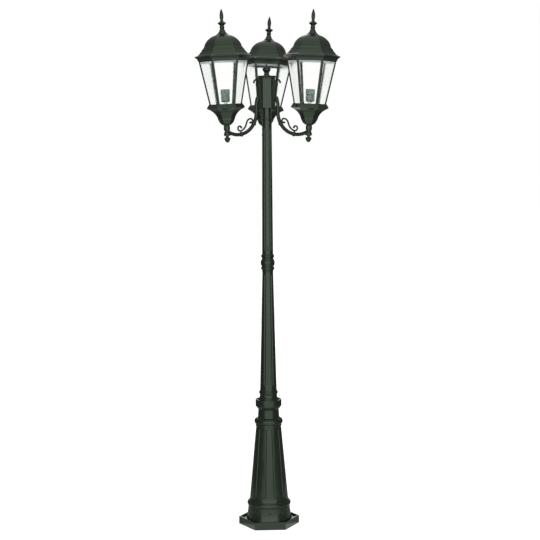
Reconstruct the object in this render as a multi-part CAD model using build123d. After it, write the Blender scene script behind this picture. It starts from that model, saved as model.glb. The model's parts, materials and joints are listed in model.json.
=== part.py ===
"""Garden lamp post with three hexagonal lanterns on scroll arms, in millimetres, +Z up.

The origin is the centre of the ground tray's underside. The front is -Y. One arm with its lantern is
modelled towards +Y and turned by a third of a circle for each of the other two.
"""
from build123d import *
from math import atan2, cos, degrees, hypot, radians, sin, sqrt, tan
import os

os.makedirs("parts", exist_ok=True)

# ---------------------------------------------------------------- general fits and walls
SEAT_GAP = 0.3          # between a lift-off piece and its seat
SLIP = 0.3              # radial clearance of a spigot in its socket
THREAD_SLIP = 0.15      # radial clearance of a screw or threaded tube in its hole
TURN_SLIP = 0.1         # radial clearance of a stud that turns in a lift-off piece
CAST_WALL = 4.5         # cast walls of tray spigot and pedestal
SHAFT_WALL = 3.5        # cast walls of the two pole sections
SIXTH = 60              # degrees between faces of a hexagon
THIRD = 120             # degrees between arms
FRONT = 270             # direction of the front, in degrees from +X

# ---------------------------------------------------------------- ground tray
TRAY_CORNER_R = 136.0
TRAY_HEIGHT = 34.0
TRAY_FLOOR = 26.0
TRAY_RIM = 6.5
TRAY_EDGE = 1.5         # rounding of the rim
TRAY_SPIGOT_HEIGHT = 50.0
ANCHOR_CIRCLE_R = 72.0
ANCHOR_COUNT = 4
ANCHOR_HOLE_R = 6.0
CABLE_ENTRY_R = 19.0

# ---------------------------------------------------------------- pedestal
SKIRT_BOTTOM_R = 103.0
SKIRT_MIDDLE_R = 96.4
SKIRT_TOP_R = 93.4
SKIRT_HEIGHT = 62.0
BASE_ROLL_R = 98.0
BASE_ROLL_HEIGHT = 21.0
COVE_BOTTOM_R = 91.0
COVE_HEIGHT = 17.0
CONE_BOTTOM_R = 85.5
CONE_TOP_R = 56.2
CONE_HEIGHT = 322.0
THIN_BEAD_R = 58.6
THIN_BEAD_HEIGHT = 9.5
TOP_ROLL_R = 63.8
TOP_ROLL_HEIGHT = 30.0
NECK_BOTTOM_R = 48.3
NECK_TOP_R = 46.1
NECK_HEIGHT = 37.5
CONE_FLUTES = 12
CONE_FLUTE_R = 5.5
CONE_FLUTE_DEPTH = 3.0
CONE_FLUTE_MARGIN = 5.0  # plain band above and below the flutes
SKIRT_SCREWS = 10

# ---------------------------------------------------------------- collar under the pole
COLLAR_R = 58.4
COLLAR_HEIGHT = 45.0
COLLAR_CHAMFER_HEIGHT = 14.0
COLLAR_RECESS = 7.0
COLLAR_RIM = 4.0
COLLAR_SPIGOT = 22.0
COLLAR_SCREWS = 3

# ---------------------------------------------------------------- lower shaft
FLANGE_THICKNESS = 3.5
FOOT_R = 46.5
FOOT_WAIST_R = 38.4
FOOT_HEIGHT = 24.0       # recess floor to waist
FOOT_BEAD_R = 42.3
FOOT_BEAD_HEIGHT = 27.0
SHAFT_BOTTOM_R = 37.2
SHAFT_TOP_R = 24.1
SHAFT_HEIGHT = 530.0
SHAFT_TAIL = 60.0        # length of the shaft that hides inside collar and pedestal
SHAFT_FLUTES = 6
SHAFT_FLUTE_R = 5.5
SHAFT_FLUTE_DEPTH = 3.0
SHAFT_FLUTE_FROM = 20.0  # plain band under the flutes
SHAFT_FLUTE_TO = 11.0    # plain band over the flutes

# ---------------------------------------------------------------- coupling
COUPLING_COLLAR_R = 25.3
COUPLING_RING_R = 29.9
COUPLING_WAIST_R = 26.6
COUPLING_BALL_R = 31.3
COUPLING_RING_HEIGHT = 24.0
COUPLING_BALL_HEIGHT = 37.0
COUPLING_TOP_HEIGHT = 19.0
COUPLING_SPIGOT = 34.0

# ---------------------------------------------------------------- upper pole and fitter
POLE_BOTTOM_R = 24.6
POLE_TOP_R = 21.4
POLE_HEIGHT = 590.0
POLE_FLUTES = 6
POLE_FLUTE_R = 5.0
POLE_FLUTE_DEPTH = 2.2
POLE_FLUTE_FROM = 12.0
POLE_FLUTE_TO = 35.0
FITTER_RING_R = 23.4
FITTER_RING_HEIGHT = 8.0
FITTER_SLEEVE_R = 19.9
FITTER_SLEEVE_HEIGHT = 46.0
FITTER_WALL = 3.5
FITTER_SPIGOT = 40.0

# ---------------------------------------------------------------- hub
HUB_CORNER_R = 37.0
HUB_HEIGHT = 129.0
HUB_WALL = 4.0
HUB_FLOOR = 6.0
HUB_SPIGOT = 24.0
BRIDGE_WIDTH = 9.0
BRIDGE_THICKNESS = 5.0
BRIDGE_DROP = 11.0       # hub rim down to the top of the bridge
HUB_CAP_R = 44.5
HUB_CAP_THICKNESS = 11.5
HUB_CAP_LIP = 6.0
HUB_FINIAL_BASE_R = 14.0
HUB_FINIAL_NECK_R = 10.9
HUB_FINIAL_BALL_R = 18.0
HUB_FINIAL_HEIGHT = 53.0
HUB_STUD_R = 3.0

# ---------------------------------------------------------------- arm, seen in its own radial plane
PLATE_WIDTH = 24.0
PLATE_THIN = 5.0
PLATE_THICK_LOW = 11.0
PLATE_THICK_HIGH = 18.0
PLATE_BELOW = 8.0        # plate's end below the hub's floor
PLATE_TOP_DROP = 6.0     # plate's end below the hub's rim
ARM_R = 8.0
ARM_BORE_R = 4.5
ARM_TOP_DROP = 83.0      # hub rim down to the arm's middle where it leaves the plate
ARM_DROP_R = 55.0        # distance of the arm's straight drop from the post's axis
ARM_SHOULDER_R = 9.0     # radius of the turn from the plate into the drop
ARM_SHOULDER_INSET = 6.5
ARM_SWEEP_R = 60.0       # radius of the gentle turn from the slanting drop into the upright
ARM_SWEEP_RISE = 36.0    # height of that turn over the bend's centre
ARM_BEND_R = 97.0
ARM_BEND_ABOVE = 20.0    # centre of the bend below the hub's floor
ARM_END = 303            # degrees round the bend's centre at which the arm meets the lantern's axis
ARM_IN_BOSS = 22.0       # height of that meeting point over the acorn's top
KNUCKLE_R = 11.2
KNUCKLE_LENGTH = 11.0
KNUCKLE_ANGLES = (210, 258)
HOOK_R = 3.7
HOOK_BALL_R = 4.5
WIRE_R = 3.7             # scroll
WIRE_BALL_R = 4.8

# ---------------------------------------------------------------- lantern, heights along its own axis
LEAN = 2.7               # outward lean of each arm's boss, degrees
SIDE_LEAN = {"rear": 2.8, "left": 0.0, "right": 0.0}  # sideways lean on the threaded tube, degrees
LANTERN_TURN = {"rear": -3.8, "left": 2.2, "right": -8.5}  # how it was tightened on its tube, degrees
BELL_LIP_R = 82.5
BELL_THROAT_R = 37.0
BELL_FOOT_R = 14.2
BELL_HEIGHT = 76.0
BELL_CUP_HEIGHT = 23.5
BELL_WALL = 3.0
STEM_R = 13.8
STEM_HEIGHT = 20.0
BOSS_R = 14.2
BOSS_HEIGHT = 26.5
ACORN_R = 13.5
ACORN_HEIGHT = 28.5
ACORN_NECK = 5.5
NIPPLE_R = 5.0
NIPPLE_BORE_R = 3.7
NIPPLE_GRIP = 4.0        # length screwed into the arm's boss
NUT_R = 8.5
NUT_HEIGHT = 5.0
RING_HEIGHT = 16.0
RING_TOP_R = 73.0
WEB_LEVEL = 3.0
WEB_THICKNESS = 3.0
CAGE_BOTTOM_R = 71.0
CAGE_TOP_R = 107.4
CAGE_HEIGHT = 182.0
CAGE_WALL = 3.0
CAGE_BAR = 7.0
TOP_RING_HEIGHT = 7.0
PANE_THICKNESS = 4.0
PANE_EDGE = 2.5
PANE_BEVEL = 18.0
PANE_SEAT = 3.0          # depth of the panes' rebate in the base ring
PANE_LAP = 5.0           # height of the panes behind the top ring
HOLDER_R = 20.0
HOLDER_LEVEL = 25.0
HOLDER_HEIGHT = 54.0
SHELL_R = 13.1
SHELL_WALL = 0.5
ROOF_EAVE_R = 124.8
ROOF_FASCIA_R = 110.5
ROOF_FASCIA_DROP = 18.5
ROOF_EAVE_EDGE = 2.5
ROOF_EAVE_RISE = 14.2    # seat to the eave's lower edge
ROOF_COVE_RISE = 17.5
ROOF_STEP_RISE = 13.5
ROOF_BAND_RISE = 7.5
ROOF_DOME_RISE = 34.5
ROOF_SHOULDER_RISE = 14.0
ROOF_NECK_RISE = 24.5
ROOF_STEP_R = 89.0
ROOF_DOME_R = 81.5
ROOF_WALL = 3.0
ROOF_NECK_R = 11.0
ROOF_CLEARANCE = 1.0
FINIAL_HEIGHT = 88.0
FINIAL_COLLAR_R = 18.5
FINIAL_SPEAR_R = 8.4
FINIAL_STUD_R = 3.0

# ---------------------------------------------------------------- wiring
CABLE_R = 4.5
CORE_R = 1.5
LEAD_R = 2.5
LEAD_BEND_R = 4.5        # bend under the threaded tube
LEAD_SHOULDER_R = 8.0    # bend in the hub
LEAD_LEAVES_BEND = 5     # degrees before the arm's end at which the lead runs straight
CONNECTOR_R = 6.6
CONNECTOR_HEIGHT = 20.0
CONNECTOR_WALL = 1.0
CONNECTOR_DEPTH = 4.0    # how far the wires enter a connector
CABLE_TAIL = 45.0        # tray floor to the cable's free end, where the ground supply joins it

# ---------------------------------------------------------------- levels worked out from the sizes above
PEDESTAL_Z = TRAY_FLOOR
BASE_ROLL_Z = PEDESTAL_Z + SKIRT_HEIGHT
COVE_Z = BASE_ROLL_Z + BASE_ROLL_HEIGHT
CONE_Z = COVE_Z + COVE_HEIGHT
THIN_BEAD_Z = CONE_Z + CONE_HEIGHT
TOP_ROLL_Z = THIN_BEAD_Z + THIN_BEAD_HEIGHT
NECK_Z = TOP_ROLL_Z + TOP_ROLL_HEIGHT
COLLAR_Z = NECK_Z + NECK_HEIGHT
COLLAR_TOP_Z = COLLAR_Z + COLLAR_HEIGHT
FLANGE_Z = COLLAR_TOP_Z - COLLAR_RECESS
FOOT_WAIST_Z = FLANGE_Z + FOOT_HEIGHT
SHAFT_Z = FOOT_WAIST_Z + FOOT_BEAD_HEIGHT
COUPLING_Z = SHAFT_Z + SHAFT_HEIGHT
COUPLING_BALL_Z = COUPLING_Z + COUPLING_RING_HEIGHT
COUPLING_CAP_Z = COUPLING_BALL_Z + COUPLING_BALL_HEIGHT
POLE_Z = COUPLING_CAP_Z + COUPLING_TOP_HEIGHT
FITTER_Z = POLE_Z + POLE_HEIGHT
HUB_Z = FITTER_Z + FITTER_RING_HEIGHT + FITTER_SLEEVE_HEIGHT
HUB_TOP_Z = HUB_Z + HUB_HEIGHT
HEX = cos(radians(SIXTH / 2))
HUB_FACE = HUB_CORNER_R * HEX
SHAFT_TAIL_R = SHAFT_BOTTOM_R
FLANGE_R = COLLAR_R - COLLAR_RIM - SLIP
CAGE_Z = RING_HEIGHT
CAGE_TOP = CAGE_Z + CAGE_HEIGHT
ROOF_SEAT = CAGE_TOP + TOP_RING_HEIGHT
STEM_TOP = -BELL_HEIGHT
BOSS_TOP = STEM_TOP - STEM_HEIGHT
ACORN_TOP = BOSS_TOP - BOSS_HEIGHT
ARM_LEVEL = HUB_TOP_Z - ARM_TOP_DROP
BEND_Z = HUB_Z - ARM_BEND_ABOVE
BEND_R = ARM_DROP_R + ARM_BEND_R
MEETING = ACORN_TOP + ARM_IN_BOSS
MEETING_R = BEND_R + ARM_BEND_R * cos(radians(ARM_END))
MEETING_Z = BEND_Z + ARM_BEND_R * sin(radians(ARM_END))
SEAT_R = MEETING_R - MEETING * sin(radians(LEAN))
SEAT_Z = MEETING_Z - MEETING * cos(radians(LEAN))
LEAN_PIVOT = BOSS_TOP - NIPPLE_GRIP / 2

ARMS = {"rear": 0, "left": THIRD, "right": 2 * THIRD}
LANTERN = Pos(0, SEAT_R, SEAT_Z) * Rot(-LEAN, 0, 0)


def lantern_place(side):
    """Where a lantern's own frame stands: on its arm, leaned at the threaded tube's grip and turned."""
    tip_over = Pos(0, 0, LEAN_PIVOT) * Rot(0, SIDE_LEAN[side], 0) * Pos(0, 0, -LEAN_PIVOT)
    return Rot(0, 0, ARMS[side]) * LANTERN * tip_over * Rot(0, 0, LANTERN_TURN[side])


# ---------------------------------------------------------------- shared shapes
def edges_through(start, steps, place):
    """Lines and arcs from start through each step: a point, or a pair (point on the arc, its end)."""
    edges, here = [], start
    for step in steps:
        if isinstance(step[0], tuple):
            through, end = step
            edges.append(ThreePointArc(place(here), place(through), place(end)))
        else:
            end = step
            edges.append(Line(place(here), place(end)))
        here = end
    return edges


def last_point(start, steps):
    """Where such an outline ends."""
    if not steps:
        return start
    return steps[-1][1] if isinstance(steps[-1][0], tuple) else steps[-1]


def face_xz(start, *steps):
    """The flat face inside an outline of (x, z) points, closed back to its start."""
    edges = edges_through(start, steps, lambda p: (p[0], 0, p[1]))
    end = last_point(start, steps)
    if hypot(end[0] - start[0], end[1] - start[1]) > 1e-6:
        edges.append(Line((end[0], 0, end[1]), (start[0], 0, start[1])))
    return make_face(edges)


def turned(start, *steps):
    """A lathe-turned solid about +Z from an outline of (radius, z) points."""
    return revolve(face_xz(start, *steps), Axis.Z)


def hexed(start, *steps):
    """A solid whose level sections are hexagons, from an outline of (corner radius, z) points.

    Three slabs with the outline on both sides, 60 degrees apart, are intersected.
    """
    edges = []
    for side in (1, -1):
        edges += edges_through(start, steps, lambda p: (0, side * p[0] * HEX, p[1]))
    bottom, top = start, last_point(start, steps)
    for radius, z in (bottom, top):
        if radius > 0:
            edges.append(Line((0, -radius * HEX, z), (0, radius * HEX, z)))
    widest = max(p[0] for s in (start, *steps) for p in (s if isinstance(s[0], tuple) else (s,)))
    slab = extrude(make_face(edges), 1.2 * widest, dir=(1, 0, 0), both=True)
    return slab & Rot(0, 0, SIXTH) * slab & Rot(0, 0, 2 * SIXTH) * slab


def hex_prism(corner_r, bottom, top):
    """A straight hexagonal prism between two levels."""
    prism = extrude(RegularPolygon(corner_r, 6), top - bottom)
    return Pos(0, 0, bottom) * prism


def rod(radius, bottom, top):
    """A round rod on the Z axis between two levels."""
    return Pos(0, 0, (bottom + top) / 2) * Cylinder(radius, top - bottom)


def around(count, piece, first=FRONT):
    """Copies of a piece that points along +X, evenly spaced from the first direction."""
    return [Rot(0, 0, first + k * 360 / count) * piece for k in range(count)]


def radial_rod(radius, inner, outer, z):
    """A round rod along +X between two distances from the axis."""
    return Pos((inner + outer) / 2, 0, z) * Rot(0, 90, 0) * Cylinder(radius, outer - inner)


def flutes(count, groove_r, depth, low, high):
    """Round-ended grooves cut along a cone, between the (radius, z) points low and high."""
    run, rise = high[0] - low[0], high[1] - low[1]
    length = hypot(run, rise)
    tilt = degrees(atan2(run, rise))
    cutter = Cylinder(groove_r, length) + Pos(0, 0, length / 2) * Sphere(groove_r)
    cutter += Pos(0, 0, -length / 2) * Sphere(groove_r)
    stand_off = groove_r - depth
    middle = ((low[0] + high[0]) / 2 + stand_off, 0, (low[1] + high[1]) / 2)
    cutter = Pos(*middle) * Rot(0, tilt, 0) * cutter
    return around(count, cutter, FRONT + 180 / count)


def slotted_screw(head_r, head_height, shank_r, shank):
    """A slotted screw along +X: the head's underside is at x = 0, the shank goes towards -X."""
    head = radial_rod(head_r, 0, head_height, 0)
    head = chamfer(head.edges().filter_by(GeomType.CIRCLE).sort_by(Axis.X)[-1], 0.35 * head_height)
    slot = Pos(head_height, 0, 0) * Box(0.8 * head_height, 2.4 * head_r, 0.22 * head_r)
    return head + radial_rod(shank_r, -shank, 0, 0) - slot


def wire_path(start, heading, turns):
    """A planar wire in the arm's plane from (r, z): straight runs and (radius, turn) arcs.

    A turn is in degrees, positive to the left of the heading. A plain number is a straight run.
    """
    edges, here, angle = [], start, heading
    for turn in turns:
        if isinstance(turn, tuple):
            radius, sweep_angle = turn
            side = 90 if sweep_angle > 0 else -90
            centre = (
                here[0] + radius * cos(radians(angle + side)),
                here[1] + radius * sin(radians(angle + side)),
            )

            def on_arc(heading_there):
                direction = radians(heading_there - side)
                return (centre[0] + radius * cos(direction), centre[1] + radius * sin(direction))

            middle, end = on_arc(angle + sweep_angle / 2), on_arc(angle + sweep_angle)
            edges.append(ThreePointArc((0, *here), (0, *middle), (0, *end)))
            angle += sweep_angle
        else:
            end = (here[0] + turn * cos(radians(angle)), here[1] + turn * sin(radians(angle)))
            edges.append(Line((0, *here), (0, *end)))
        here = end
    return Wire(edges), here


def swept(radius, path):
    """A round bar along a path."""
    return sweep((path ^ 0) * Circle(radius), path)


def write(name, shape):
    """Writes a node's STEP file from one solid, or from a list of separate solids."""
    solids = []
    for item in shape if isinstance(shape, (list, tuple)) else [shape]:
        solids += item.solids()
    export_step(Compound(solids) if len(solids) > 1 else solids[0], f"parts/{name}.step")


# ---------------------------------------------------------------- base
def base_tray():
    """Hexagonal tray with a raised rim, a spigot for the pedestal, anchor holes and a cable hole."""
    tray = hex_prism(TRAY_CORNER_R, 0, TRAY_HEIGHT)
    tray -= hex_prism(TRAY_CORNER_R - TRAY_RIM / HEX, TRAY_FLOOR, TRAY_HEIGHT + 1)
    tray = fillet(tray.edges().group_by(Axis.Z)[-1], TRAY_EDGE)
    top_z = TRAY_FLOOR + TRAY_SPIGOT_HEIGHT
    outer_low = skirt_inner_r(TRAY_FLOOR) - SLIP
    outer_high = skirt_inner_r(top_z) - SLIP
    tray += turned(
        (outer_low, TRAY_FLOOR), (outer_high, top_z), (outer_high - CAST_WALL, top_z),
        (outer_high - CAST_WALL, TRAY_FLOOR),
    )
    anchor_hole = Pos(ANCHOR_CIRCLE_R, 0, 0) * rod(ANCHOR_HOLE_R, -1, TRAY_HEIGHT)
    for hole in around(ANCHOR_COUNT, anchor_hole, 45):
        tray -= hole
    for hole in around(SKIRT_SCREWS, skirt_screw(THREAD_SLIP)):
        tray -= hole
    return tray - rod(CABLE_ENTRY_R, -1, TRAY_HEIGHT)


def skirt_outer_r(z):
    """Radius of the pedestal's skirt at a level, on the arc through its three given radii."""
    low, high = PEDESTAL_Z, BASE_ROLL_Z
    share = (z - low) / (high - low)
    straight = SKIRT_BOTTOM_R + (SKIRT_TOP_R - SKIRT_BOTTOM_R) * share
    dip = (SKIRT_BOTTOM_R + SKIRT_TOP_R) / 2 - SKIRT_MIDDLE_R
    return straight - 4 * dip * share * (1 - share)


def skirt_inner_r(z):
    """Radius inside the skirt, which is straight between its ends."""
    share = (z - PEDESTAL_Z) / (BASE_ROLL_Z - PEDESTAL_Z)
    foot = SKIRT_BOTTOM_R - 2.4 * CAST_WALL
    return foot + (SKIRT_TOP_R - CAST_WALL - foot) * share


SKIRT_SCREW_Z = PEDESTAL_Z + 0.8 * TRAY_SPIGOT_HEIGHT


def skirt_screw(grow=0.0):
    """The shank of a skirt screw along +X, or with grow its hole."""
    tip = skirt_inner_r(SKIRT_SCREW_Z) - 2 * CAST_WALL
    return radial_rod(2.5 + grow, tip, skirt_outer_r(SKIRT_SCREW_Z) + grow, SKIRT_SCREW_Z)


def pedestal():
    """Cast pedestal: skirt, base roll, fluted cone, bead, top roll and neck, open below."""
    roll_mid = BASE_ROLL_Z + BASE_ROLL_HEIGHT / 2
    top_mid = TOP_ROLL_Z + TOP_ROLL_HEIGHT * 0.4
    body = turned(
        (SKIRT_BOTTOM_R, PEDESTAL_Z),
        ((SKIRT_MIDDLE_R, PEDESTAL_Z + SKIRT_HEIGHT / 2), (SKIRT_TOP_R, BASE_ROLL_Z)),
        ((BASE_ROLL_R, roll_mid), (COVE_BOTTOM_R + 0.8, COVE_Z)),
        (COVE_BOTTOM_R, COVE_Z),
        ((CONE_BOTTOM_R + 1.3, COVE_Z + 0.55 * COVE_HEIGHT), (CONE_BOTTOM_R, CONE_Z)),
        (CONE_TOP_R, THIN_BEAD_Z),
        ((THIN_BEAD_R, THIN_BEAD_Z + THIN_BEAD_HEIGHT / 2), (CONE_TOP_R + 0.8, TOP_ROLL_Z)),
        ((TOP_ROLL_R, top_mid), (NECK_BOTTOM_R + 3, NECK_Z - 1.5)),
        (NECK_BOTTOM_R, NECK_Z),
        (NECK_TOP_R, COLLAR_Z),
        (NECK_TOP_R - CAST_WALL, COLLAR_Z),
        (NECK_BOTTOM_R - CAST_WALL, NECK_Z),
        (CONE_TOP_R - CAST_WALL, THIN_BEAD_Z),
        (CONE_BOTTOM_R - CAST_WALL, CONE_Z),
        (SKIRT_TOP_R - CAST_WALL, BASE_ROLL_Z),
        (skirt_inner_r(PEDESTAL_Z), PEDESTAL_Z),
    )
    slope = (CONE_TOP_R - CONE_BOTTOM_R) / CONE_HEIGHT
    from_z = CONE_Z + CONE_FLUTE_MARGIN + CONE_FLUTE_R
    to_z = THIN_BEAD_Z - CONE_FLUTE_MARGIN - CONE_FLUTE_R
    low = (CONE_BOTTOM_R + slope * (from_z - CONE_Z), from_z)
    high = (CONE_BOTTOM_R + slope * (to_z - CONE_Z), to_z)
    for groove in flutes(CONE_FLUTES, CONE_FLUTE_R, CONE_FLUTE_DEPTH, low, high):
        body -= groove
    for hole in around(SKIRT_SCREWS, skirt_screw(THREAD_SLIP)):
        body -= hole
    return body


def pedestal_screws():
    """Countersunk set screws through the skirt into the tray's spigot."""
    screw = skirt_screw()
    outside = skirt_outer_r(SKIRT_SCREW_Z)
    dome = Pos(outside, 0, SKIRT_SCREW_Z) * Rot(0, 90, 0) * turned(
        (0, -0.9), (4.2, -0.9), (4.2, 0.5), ((2.6, 2.0), (0, 2.6))
    )
    slot = Pos(outside + 2.4, 0, SKIRT_SCREW_Z) * Box(2.0, 9.0, 0.9)
    below, above = SKIRT_SCREW_Z - 6, SKIRT_SCREW_Z + 6
    seat = turned((skirt_outer_r(below), below), (200, below), (200, above), (skirt_outer_r(above), above))
    return around(SKIRT_SCREWS, screw + ((dome - slot) & seat))


# ---------------------------------------------------------------- collar and lower shaft
COLLAR_SCREW_R = (FLANGE_R + FOOT_R) / 2


def collar():
    """Chamfered collar on the pedestal's neck, recessed on top for the shaft's flange."""
    bore = SHAFT_TAIL_R + SLIP
    chamfer_z = COLLAR_Z + COLLAR_CHAMFER_HEIGHT
    body = turned(
        (NECK_TOP_R + 0.3, COLLAR_Z),
        (COLLAR_R - 1.6, chamfer_z),
        ((COLLAR_R - 0.6, chamfer_z + 1.5), (COLLAR_R, chamfer_z + 5)),
        (COLLAR_R, COLLAR_TOP_Z - 2.5),
        ((COLLAR_R - 0.7, COLLAR_TOP_Z - 0.7), (COLLAR_R - 2.5, COLLAR_TOP_Z)),
        (COLLAR_R - COLLAR_RIM, COLLAR_TOP_Z),
        (COLLAR_R - COLLAR_RIM, FLANGE_Z),
        (bore, FLANGE_Z),
        (bore, COLLAR_Z - COLLAR_SPIGOT),
        (NECK_TOP_R - CAST_WALL - SLIP, COLLAR_Z - COLLAR_SPIGOT),
        (NECK_TOP_R - CAST_WALL - SLIP, COLLAR_Z),
    )
    screw_hole = Pos(COLLAR_SCREW_R, 0, 0) * rod(2 + THREAD_SLIP, FLANGE_Z - 16, FLANGE_Z + 1)
    for hole in around(COLLAR_SCREWS, screw_hole):
        body -= hole
    return body


def collar_screws():
    """Upright screws that hold the shaft's flange down on the collar."""
    screw = Rot(0, -90, 0) * slotted_screw(3.6, 2.6, 2.0, FLANGE_THICKNESS + 14)
    return around(COLLAR_SCREWS, Pos(COLLAR_SCREW_R, 0, FLANGE_Z + FLANGE_THICKNESS) * screw)


def lower_shaft():
    """Tapered fluted shaft with a flange, a flared foot and a bead, hollow for the cable."""
    top_flange = FLANGE_Z + FLANGE_THICKNESS
    bead_z = FOOT_WAIST_Z + 0.58 * FOOT_BEAD_HEIGHT
    inner_low, inner_high = SHAFT_TAIL_R - SHAFT_WALL, SHAFT_TOP_R - SHAFT_WALL
    tail_z = FLANGE_Z - SHAFT_TAIL
    body = turned(
        (SHAFT_TAIL_R, tail_z),
        (SHAFT_TAIL_R, FLANGE_Z),
        (FLANGE_R, FLANGE_Z),
        (FLANGE_R, top_flange),
        (FOOT_R, top_flange),
        (FOOT_R, top_flange + 2),
        ((FOOT_WAIST_R + 1.6, FOOT_WAIST_Z - 7), (FOOT_WAIST_R, FOOT_WAIST_Z)),
        (FOOT_WAIST_R + 0.6, FOOT_WAIST_Z + 3),
        ((FOOT_BEAD_R - 2.0, bead_z - 7.5), (FOOT_BEAD_R - 0.7, bead_z - 5)),
        ((FOOT_BEAD_R, bead_z), (FOOT_BEAD_R - 3.2, bead_z + 5)),
        (SHAFT_BOTTOM_R + 0.4, SHAFT_Z - 2),
        (SHAFT_BOTTOM_R, SHAFT_Z),
        (SHAFT_TOP_R, COUPLING_Z),
        (inner_high, COUPLING_Z),
        (inner_low, SHAFT_Z),
        (inner_low, tail_z),
    )
    slope = (SHAFT_TOP_R - SHAFT_BOTTOM_R) / SHAFT_HEIGHT
    from_z = SHAFT_Z + SHAFT_FLUTE_FROM + SHAFT_FLUTE_R
    to_z = COUPLING_Z - SHAFT_FLUTE_TO - SHAFT_FLUTE_R
    low = (SHAFT_BOTTOM_R + slope * (from_z - SHAFT_Z), from_z)
    high = (SHAFT_BOTTOM_R + slope * (to_z - SHAFT_Z), to_z)
    for groove in flutes(SHAFT_FLUTES, SHAFT_FLUTE_R, SHAFT_FLUTE_DEPTH, low, high):
        body -= groove
    screw_hole = Pos(COLLAR_SCREW_R, 0, 0) * rod(2 + THREAD_SLIP, FLANGE_Z - 1, top_flange + 1)
    for hole in around(COLLAR_SCREWS, screw_hole):
        body -= hole
    return body


# ---------------------------------------------------------------- coupling, upper pole and fitter
def coupling():
    """Turned joint with a ring, a ball and a cap ring; a spigot enters the section at each end."""
    ring_z = COUPLING_Z + 0.67 * COUPLING_RING_HEIGHT
    ball_z = COUPLING_BALL_Z + 0.45 * COUPLING_BALL_HEIGHT
    cap_z = COUPLING_CAP_Z + 0.45 * COUPLING_TOP_HEIGHT
    low_r = SHAFT_TOP_R - SHAFT_WALL - SLIP
    high_r = POLE_BOTTOM_R - SHAFT_WALL - SLIP
    bore = low_r - FITTER_WALL
    return turned(
        (low_r, COUPLING_Z - COUPLING_SPIGOT),
        (low_r, COUPLING_Z),
        (COUPLING_COLLAR_R - 0.8, COUPLING_Z),
        (COUPLING_COLLAR_R, ring_z - 9),
        (COUPLING_WAIST_R, ring_z - 7),
        ((COUPLING_RING_R, ring_z), (COUPLING_WAIST_R, COUPLING_BALL_Z - 1.5)),
        (COUPLING_WAIST_R, COUPLING_BALL_Z + 1),
        ((COUPLING_BALL_R, ball_z), (COUPLING_WAIST_R, COUPLING_CAP_Z - 5)),
        (COUPLING_COLLAR_R, COUPLING_CAP_Z - 2.5),
        (COUPLING_COLLAR_R, COUPLING_CAP_Z + 1),
        (COUPLING_WAIST_R, COUPLING_CAP_Z + 2.5),
        ((COUPLING_RING_R - 0.7, cap_z + 1), (COUPLING_WAIST_R, cap_z + 7)),
        (POLE_BOTTOM_R + 0.8, cap_z + 8),
        (POLE_BOTTOM_R + 0.3, POLE_Z),
        (high_r, POLE_Z),
        (high_r, POLE_Z + COUPLING_SPIGOT),
        (bore, POLE_Z + COUPLING_SPIGOT),
        (bore, COUPLING_Z - COUPLING_SPIGOT),
    )


def upper_pole():
    """Slim tapered pole with long flutes."""
    body = turned(
        (POLE_BOTTOM_R, POLE_Z), (POLE_TOP_R, FITTER_Z),
        (POLE_TOP_R - SHAFT_WALL, FITTER_Z), (POLE_BOTTOM_R - SHAFT_WALL, POLE_Z),
    )
    slope = (POLE_TOP_R - POLE_BOTTOM_R) / POLE_HEIGHT
    from_z = POLE_Z + POLE_FLUTE_FROM + POLE_FLUTE_R
    to_z = FITTER_Z - POLE_FLUTE_TO - POLE_FLUTE_R
    low = (POLE_BOTTOM_R + slope * (from_z - POLE_Z), from_z)
    high = (POLE_BOTTOM_R + slope * (to_z - POLE_Z), to_z)
    for groove in flutes(POLE_FLUTES, POLE_FLUTE_R, POLE_FLUTE_DEPTH, low, high):
        body -= groove
    return body


FITTER_BORE_R = POLE_TOP_R - SHAFT_WALL - SLIP - FITTER_WALL
FITTER_SCREW_Z = HUB_Z - HUB_SPIGOT / 2
FITTER_SCREWS = (30, 150)


def pole_fitter():
    """Ringed sleeve: its spigot enters the pole, the hub's spigot enters it from above."""
    spigot_r = POLE_TOP_R - SHAFT_WALL - SLIP
    ring_top = FITTER_Z + FITTER_RING_HEIGHT
    body = turned(
        (spigot_r, FITTER_Z - FITTER_SPIGOT),
        (spigot_r, FITTER_Z),
        (FITTER_RING_R - 1, FITTER_Z),
        ((FITTER_RING_R, FITTER_Z + FITTER_RING_HEIGHT / 2), (FITTER_RING_R - 1, ring_top)),
        (FITTER_SLEEVE_R, ring_top),
        (FITTER_SLEEVE_R, HUB_Z),
        (FITTER_BORE_R, HUB_Z),
        (FITTER_BORE_R, FITTER_Z - FITTER_SPIGOT),
    )
    for direction in FITTER_SCREWS:
        body -= Rot(0, 0, direction) * radial_rod(2 + THREAD_SLIP, 0, FITTER_RING_R, FITTER_SCREW_Z)
    return body


def fitter_screws():
    """Set screws through the sleeve onto the hub's spigot."""
    tip = FITTER_BORE_R - SLIP + 0.1
    screw = radial_rod(2, tip, FITTER_SLEEVE_R + 0.8, FITTER_SCREW_Z)
    socket = radial_rod(1.1, FITTER_SLEEVE_R - 1.5, FITTER_SLEEVE_R + 1, FITTER_SCREW_Z)
    return [Rot(0, 0, direction) * (screw - socket) for direction in FITTER_SCREWS]


# ---------------------------------------------------------------- hub
HUB_INNER_R = HUB_CORNER_R - HUB_WALL / HEX
HUB_SPIGOT_R = FITTER_BORE_R - SLIP
ARM_SCREW_ZS = (HUB_Z + 16, HUB_TOP_Z - 32)
ARM_SCREW_R = 2.5


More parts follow.
